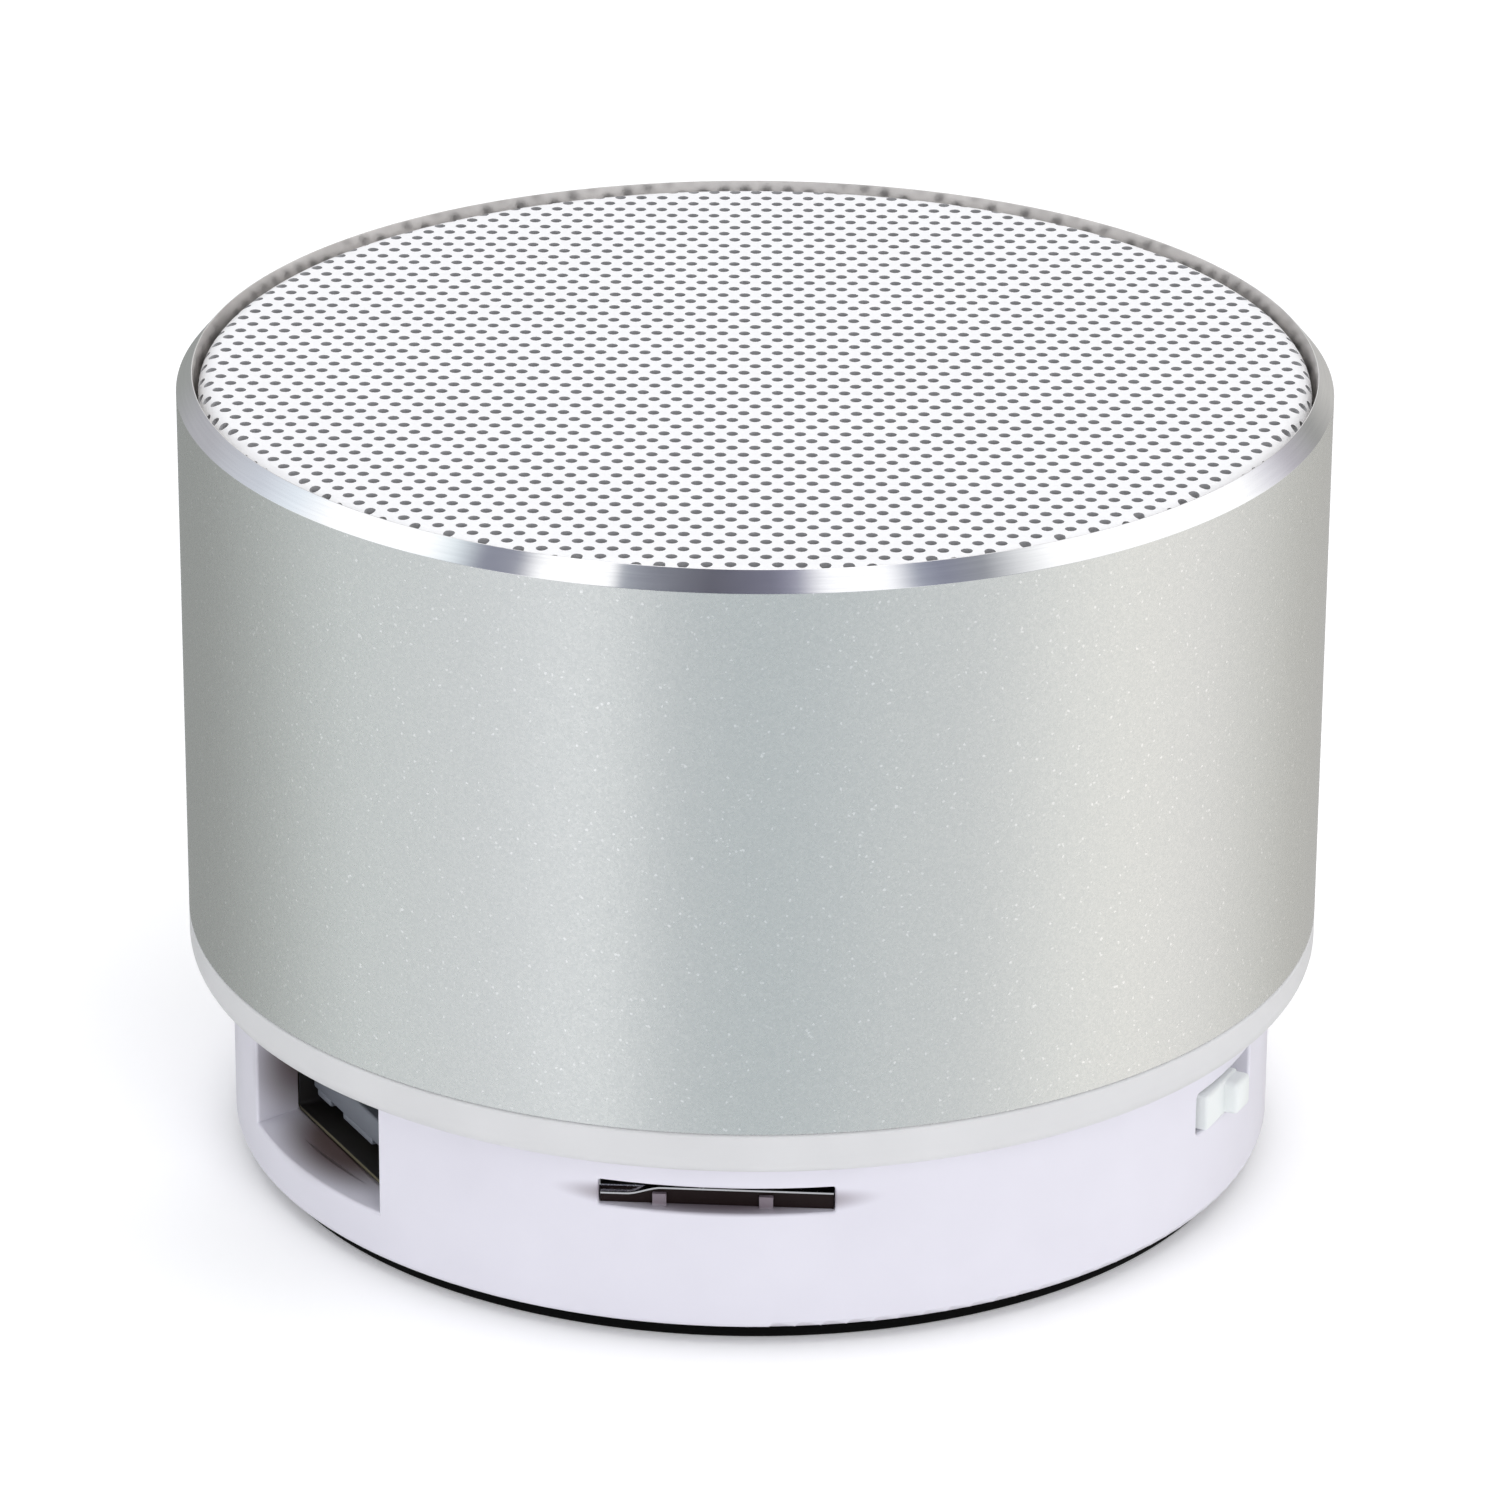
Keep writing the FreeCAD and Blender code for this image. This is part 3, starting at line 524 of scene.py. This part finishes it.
def in_hole(point):
    """Whether a point of the flat pattern lies inside a hole's outline."""
    row_step = HOLE_PITCH * math.sqrt(3) / 2
    near_row = round(point.y / row_step)
    for row in (near_row - 1, near_row, near_row + 1):
        shift = 0.5 * (row % 2)
        column = round(point.x / HOLE_PITCH - shift)
        offset = point - Vector(((column + shift) * HOLE_PITCH, row * row_step))
        if offset.length < HOLE_R:
            wedge = 2 * math.pi / HOLE_SIDES
            angle = (math.atan2(offset.y, offset.x) % wedge) - wedge / 2
            if offset.length * math.cos(angle) < HOLE_R * math.cos(wedge / 2) - 1e-7:
                return True
    return False


def over_roll(point, depth):
    """Fold a point of the flat sheet over the rolled edge, at a depth under the outer face."""
    radius = point.length
    flat_r = GRILLE_R - ROLL_R
    arc = ROLL_R * math.pi / 2
    along = point.normalized() if radius > 0 else Vector((1, 0))
    if radius <= flat_r:
        return Vector((point.x, point.y, GRILLE_TOP - depth))
    if radius <= flat_r + arc:
        angle = (radius - flat_r) / ROLL_R
        out = flat_r + (ROLL_R - depth) * math.sin(angle)
        height = GRILLE_TOP - ROLL_R + (ROLL_R - depth) * math.cos(angle)
    else:
        out = GRILLE_R - depth
        height = GRILLE_TOP - ROLL_R - (radius - flat_r - arc)
    return Vector((along.x * out, along.y * out, height))


def make_grille(finishes):
    """Perforated sheet: the hexagonal pattern runs across the face and on over the rolled edge."""
    flat_r = GRILLE_R - ROLL_R
    arc = ROLL_R * math.pi / 2
    rim = flat_r + arc + (GRILLE_TOP - GRILLE_LOW.z - ROLL_R)
    points = []
    edges = []

    def add_loop(centre, radius, sides):
        first = len(points)
        for side in range(sides):
            angle = 2 * math.pi * side / sides
            points.append(centre + radius * Vector((math.cos(angle), math.sin(angle))))
            edges.append((first + side, first + (side + 1) % sides))

    for centre in hole_centres(flat_r + arc + 0.3 * MM):
        add_loop(centre, HOLE_R, HOLE_SIDES)
    roll_rings = 6
    for ring in range(roll_rings + 1):
        add_loop(Vector((0, 0)), flat_r + arc * ring / roll_rings, 216)
    add_loop(Vector((0, 0)), rim, 216)
    scale = 1 / MM
    result = geometry.delaunay_2d_cdt([point * scale for point in points], edges, [], 0, 1e-5)
    flat = [point * MM for point in result[0]]
    faces = []
    for face in result[2]:
        middle = sum((flat[corner] for corner in face), Vector((0, 0))) / len(face)
        if not in_hole(middle):
            faces.append(face)

    bm = bmesh.new()
    used = sorted({corner for face in faces for corner in face})
    upper = {corner: bm.verts.new(over_roll(flat[corner], 0)) for corner in used}
    lower = {corner: bm.verts.new(over_roll(flat[corner], SHEET)) for corner in used}
    sides = Counter()
    for face in faces:
        bm.faces.new([upper[corner] for corner in face])
        bm.faces.new([lower[corner] for corner in reversed(face)])
        for start, end in zip(face, face[1:] + face[:1]):
            sides[(start, end)] += 1
    for start, end in sides:
        if (end, start) not in sides:
            wall = bm.faces.new([upper[end], upper[start], lower[start], lower[end]])
            # The hole walls take the painted shade.
            wall.material_index = 1
    materials = [finishes["grille_paint"], finishes["hole_wall_painted_shade"]]
    fit(finish_mesh("grille_sheet", bm, materials), "grille", "housing")


def make_trim_ring(finishes):
    """Satin ring with a rounded lower edge and a fine seam against the shell."""
    inner = BASE_R + 0.1 * MM
    tongue = SHELL_BORE - 0.1 * MM
    seam = SHELL_LOW.z
    outline = rounded([
        (inner, RING_LOW.z, EDGE), (OUTER_R, RING_LOW.z, 1.1 * MM), (OUTER_R, seam, 0.25 * MM),
        (tongue, seam, 0), (tongue, RING_HIGH.z, EDGE), (inner, RING_HIGH.z, EDGE)], steps=10)
    ring = turned("trim_band", outline, [finishes["trim_plastic"]])
    fit(ring, "trim_ring", "housing")


def make_pad(finishes):
    """Rubber disc with a rounded edge and a shallow ring groove underneath."""
    radius = PAD_HIGH.x
    groove_r = radius - 4 * MM
    groove = 0.25 * MM
    outline = rounded([
        (0, 0, 0), (groove_r - 0.6 * MM, 0, 0), (groove_r - 0.4 * MM, groove, 0.1 * MM),
        (groove_r + 0.4 * MM, groove, 0.1 * MM), (groove_r + 0.6 * MM, 0, 0.05 * MM),
        (radius, 0, 0.2 * MM), (radius, PAD_HIGH.z, EDGE), (0, PAD_HIGH.z, 0)], steps=5)
    fit(turned("foot_disc", outline, [finishes["pad_rubber"]]), "foot_pad", "housing")


def make_usb(finishes):
    """USB-A socket: lipped can, near black inside as painted shade, and a tongue with lands between its
    contacts.
    """
    low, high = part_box("usb_shell")
    # The can's outside and lip take the dark olive metal, which is painted shade of the recess.
    can = socket_shell("usb_can", USB_HALF_WIDTH, (low.z, high.z), 0.5 * MM, SOCKET_SHEET,
                       USB_MOUTH, USB_BACK, [finishes["socket_lip"], finishes["socket_inside_painted_shade"]])
    turn_to(can, USB_AZIMUTH, USB_SKEW, USB_MOUTH)
    fit(can, "usb_shell", "housing")

    depth = (-24.7, -14.2)
    blade = ((-5.45, 5.45), depth, (5.45, 6.95), 0.15)
    heel = ((-6.1, 6.1), (-15.2, -13.8), (4.3, 9.1), 0.1)
    lands = [(across, depth, (5.15, 5.6), 0.12) for across in ((-5.0, -3.3), (-1.8, 1.8), (3.3, 5.0))]
    tongue = blocks("usb_blade", [blade, heel] + lands, finishes["tongue_plastic"])
    turn_to(tongue, USB_AZIMUTH, USB_SKEW, USB_MOUTH)
    fit(tongue, "usb_tongue", "housing")


def line_height(x):
    """Height of the card socket's metal edge: bent down at its left end."""
    start, end, sag = -4.6 * MM, -2.8 * MM, 0.37 * MM
    share = min(max((x - start) / (end - start), 0), 1)
    return CARD_LINE - sag * (1 - share * share * (3 - 2 * share))


def card_strip(name, front, low, high, material):
    """A strip across the card slot, back to the socket's mouth, between two heights that may vary."""
    steps = 48
    bm = bmesh.new()
    columns = []
    for step in range(steps + 1):
        x = CARD_STRIP_HALF * (2 * step / steps - 1)
        corners = [(-front, low(x)), (-front, high(x)), (-CARD_MOUTH, high(x)), (-CARD_MOUTH, low(x))]
        columns.append([bm.verts.new((x, y, z)) for y, z in corners])
    for near, far in zip(columns, columns[1:]):
        for corner in range(4):
            after = (corner + 1) % 4
            bm.faces.new([near[corner], near[after], far[after], far[corner]])
    bm.faces.new(columns[0])
    bm.faces.new(columns[-1])
    return turn_to(finish_mesh(name, bm, [material]), CARD_AZIMUTH)


def make_card_socket(finishes):
    """Memory-card socket: its can, a near-black strip in the slot as painted shade, and the thin metal edge
    over it.
    """
    low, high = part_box("card_socket_shell")
    can = socket_shell("card_can", CARD_HALF_WIDTH, (low.z, high.z), 0.1 * MM, CARD_SHEET,
                       CARD_MOUTH, CARD_BACK, [finishes["socket_steel"], finishes["socket_inside_painted_shade"]])
    turn_to(can, CARD_AZIMUTH)
    fit(can, "card_socket_shell", "housing")

    # This strip is painted shade: a near-black sheet where the slot has only a shadowed gap.
    shade_strip = card_strip("card_slot_shade_strip", CARD_FACE, lambda x: CARD_SILL, line_height,
                          finishes["socket_plastic"])
    edge = card_strip("card_edge", CARD_FACE + 0.05 * MM, line_height,
                      lambda x: line_height(x) + CARD_LINE_SHEET, finishes["card_edge"])
    for piece, slot in ((shade_strip, "socket_plastic"), (edge, "socket_steel")):
        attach(piece, "housing")


def make_charge_port(finishes):
    """Micro-USB socket at the rear."""
    low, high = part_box("charge_port_shell")
    can = socket_shell("charge_can", CHARGE_HALF_WIDTH, (low.z, high.z), 0.5 * MM, SOCKET_SHEET,
                       CHARGE_MOUTH, CHARGE_BACK, [finishes["socket_steel"], finishes["socket_inside_painted_shade"]])
    turn_to(can, CHARGE_AZIMUTH)
    fit(can, "charge_port_shell", "housing")


def make_knob(name, node, body, azimuth, plate, nub, ridge, finish):
    """Slide knob: a plate behind the window, a rounded nub through it and a raised thumb ridge."""
    low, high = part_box(node)
    middle = (low.z + high.z) / 2 / MM
    boxes = [
        (plate, (-25.3, -24.8), (middle - 1.55, middle + 1.55), 0.08),
        (nub, (-27.95, -25.2), (middle - 1.0, middle + 1.0), 0.18),
        (ridge, (-28.7, -27.0), (middle - 0.9, middle + 0.9), 0.28)]
    knob = turn_to(blocks(name, boxes, finish), azimuth)
    fit(knob, node, body)


def make_knobs(finishes):
    """The power slide and the jog slide."""
    finish = finishes["knob_plastic"]
    make_knob("power_knob", "power_switch_knob", "power_switch", POWER_AZIMUTH,
              (-5.8, 3.8), (-3.14, 0.86), (-0.89, 0.86), finish)
    make_knob("jog_cap", "jog_switch_knob", "jog_knob", JOG_AZIMUTH,
              (-4.6, 4.6), (-1.6, 1.6), (-0.7, 0.7), finish)


# ---------------------------------------------------------------- studio
def make_floor():
    """Pale floor with a faint glow that keeps it white; mirror rays pass it, so metal sees the studio."""
    bm = bmesh.new()
    bmesh.ops.create_circle(bm, cap_ends=True, segments=96, radius=3.0)
    nodes = Nodes("studio_floor")
    shade = nodes.ramp(nodes.noise(0.4), [(0.0, 0.965), (1.0, 0.98)])
    nodes.join(shade, nodes.shader.inputs["Base Color"])
    nodes.set(Roughness=0.9, Specular_IOR_Level=0.0, Emission_Color=(1, 1, 1, 1), Emission_Strength=0.12)
    floor = finish_mesh("floor", bm, [nodes.material])
    floor.visible_glossy = False


# Radiance of the surround against azimuth in degrees: at and below the horizon, where the shell looks, ...
LOW_STOPS = [
    (-180, (0.30, 0.31, 0.30)), (-135, (0.36, 0.37, 0.36)), (-112, (0.50, 0.52, 0.51)),
    (-90, (0.71, 0.74, 0.74)), (-50, (0.79, 0.81, 0.83)), (-36, (0.94, 0.96, 0.98)),
    (-26, (0.93, 0.95, 0.96)), (-19, (0.65, 0.68, 0.70)), (0, (0.60, 0.65, 0.67)),
    (16, (0.64, 0.68, 0.70)), (26, (0.71, 0.74, 0.75)), (45, (0.73, 0.75, 0.76)),
    (62, (0.92, 0.92, 0.90)), (80, (1.00, 0.98, 0.94)), (100, (0.92, 0.90, 0.88)),
    (118, (0.76, 0.75, 0.72)), (140, (0.57, 0.56, 0.53)), (180, (0.50, 0.49, 0.48))]
# ... and above it, where the bevel looks: soft boxes between dark cards.
HIGH_STOPS = [
    (-180, (0.90, 0.90, 0.90)), (-160, (0.36, 0.36, 0.37)), (-134, (0.46, 0.46, 0.49)),
    (-118, (0.62, 0.65, 0.71)), (-109, (0.83, 0.89, 0.95)), (-100, (1.15, 1.15, 1.15)),
    (-80, (1.13, 1.14, 1.15)), (-75, (0.85, 0.92, 0.95)), (-68, (0.24, 0.25, 0.31)),
    (-60, (0.30, 0.31, 0.37)), (-55, (1.15, 1.15, 1.15)), (-38, (1.15, 1.15, 1.15)),
    (-35, (0.35, 0.37, 0.42)), (-28, (0.23, 0.24, 0.28)), (-12, (0.11, 0.11, 0.14)),
    (6, (0.18, 0.18, 0.24)), (12, (0.32, 0.32, 0.40)), (20, (1.10, 1.10, 1.12)),
    (36, (1.12, 1.12, 1.14)), (43, (0.34, 0.36, 0.43)), (49, (0.24, 0.25, 0.32)),
    (59, (0.31, 0.32, 0.35)), (67, (0.77, 0.78, 0.79)), (74, (1.12, 1.12, 1.12)),
    (116, (1.15, 1.15, 1.15)), (123, (0.80, 0.79, 0.83)), (130, (0.50, 0.48, 0.52)),
    (140, (0.34, 0.34, 0.33)), (160, (0.45, 0.44, 0.43)), (180, (0.90, 0.90, 0.90))]
# ... and straight overhead.
OVERHEAD = 2.2
# Colours are divided by this in the nodes and multiplied back by the surround's strength.
RAMP_TOP = 2.0


def studio_light():
    """Surround of soft boxes and dark cards at chosen azimuths, and a bright overhead."""
    world = bpy.data.worlds.new("studio")
    bpy.context.scene.world = world
    world.use_nodes = True
    tree = world.node_tree
    background = tree.nodes["Background"]

    def add(kind, **values):
        node = tree.nodes.new(kind)
        for key, value in values.items():
            setattr(node, key, value)
        return node

    def ramp(value, stops):
        node = add("ShaderNodeValToRGB")
        elements = node.color_ramp.elements
        while len(elements) < len(stops):
            elements.new(0.5)
        for element, (azimuth, colour) in zip(elements, stops):
            element.position = (azimuth + 180) / 360
            element.color = (*[channel / RAMP_TOP for channel in colour], 1)
        tree.links.new(value, node.inputs["Fac"])
        return node.outputs["Color"]

    def rise(split, start, end):
        """How far a direction has risen between two heights, from 0 to 1."""
        node = add("ShaderNodeMapRange")
        node.inputs["From Min"].default_value = start
        node.inputs["From Max"].default_value = end
        tree.links.new(split.outputs["Z"], node.inputs["Value"])
        return node.outputs["Result"]

    def mix(share, first, second):
        node = add("ShaderNodeMix", data_type="RGBA")
        tree.links.new(share, node.inputs["Factor"])
        tree.links.new(first, node.inputs["A"])
        tree.links.new(second, node.inputs["B"])
        return node.outputs["Result"]

    place = add("ShaderNodeTexCoord").outputs["Generated"]
    axes = add("ShaderNodeSeparateXYZ")
    tree.links.new(place, axes.inputs["Vector"])
    minus_y = add("ShaderNodeMath", operation="MULTIPLY")
    minus_y.inputs[1].default_value = -1
    tree.links.new(axes.outputs["Y"], minus_y.inputs[0])
    azimuth = add("ShaderNodeMath", operation="ARCTAN2")
    tree.links.new(axes.outputs["X"], azimuth.inputs[0])
    tree.links.new(minus_y.outputs[0], azimuth.inputs[1])
    share = add("ShaderNodeMapRange")
    share.inputs["From Min"].default_value = -math.pi
    share.inputs["From Max"].default_value = math.pi
    tree.links.new(azimuth.outputs[0], share.inputs["Value"])
    sky = mix(rise(axes, -0.05, 0.12), ramp(share.outputs["Result"], LOW_STOPS),
              ramp(share.outputs["Result"], HIGH_STOPS))
    overhead = add("ShaderNodeRGB")
    overhead.outputs[0].default_value = (*[OVERHEAD / RAMP_TOP] * 3, 1)
    lit = mix(rise(axes, 0.87, 0.92), sky, overhead.outputs[0])
    tree.links.new(lit, background.inputs["Color"])
    background.inputs["Strength"].default_value = RAMP_TOP


def add_camera():
    """Camera at the front, looking down at the speaker."""
    camera = bpy.data.cameras.new("camera")
    camera.lens = LENS
    camera.sensor_width = 36
    camera.clip_start = 0.01
    obj = bpy.data.objects.new("camera", camera)
    bpy.context.scene.collection.objects.link(obj)
    elevation = math.radians(CAMERA_ELEVATION)
    back = Vector((0, -math.cos(elevation), math.sin(elevation)))
    tilt = Matrix.Rotation(math.pi / 2 - elevation, 4, "X")
    roll = Matrix.Rotation(math.radians(CAMERA_ROLL), 4, "Z")
    obj.matrix_world = Matrix.Translation(LOOK_AT + back * CAMERA_DISTANCE) @ tilt @ roll
    bpy.context.scene.camera = obj


def add_fill_light():
    """One broad soft box beside the camera."""
    light = bpy.data.lights.new("fill", "AREA")
    light.shape = "DISK"
    light.size = 0.7
    light.energy = 2.5
    obj = bpy.data.objects.new("fill", light)
    bpy.context.scene.collection.objects.link(obj)
    obj.location = (0.25, -0.9, 0.45)
    obj.rotation_euler = (-obj.location).to_track_quat("-Z", "Y").to_euler()
    obj.visible_glossy = False


def dress_cad_nodes(finishes):
    """Give every CAD node the finish of its slot."""
    for part in frame["record"]["subparts"]:
        node = frame["nodes"][part["node"]]
        finish = finishes.get(part["material_slot"])
        if finish is not None:
            for slot in node.material_slots:
                slot.material = finish


finishes = slot_materials()
dress_cad_nodes(finishes)
make_shell(finishes)
make_grille(finishes)
make_trim_ring(finishes)
make_pad(finishes)
make_usb(finishes)
make_card_socket(finishes)
make_charge_port(finishes)
make_knobs(finishes)
make_floor()
studio_light()
add_fill_light()
add_camera()
scene = bpy.context.scene
scene.view_settings.view_transform = "Standard"
scene.view_settings.look = "None"
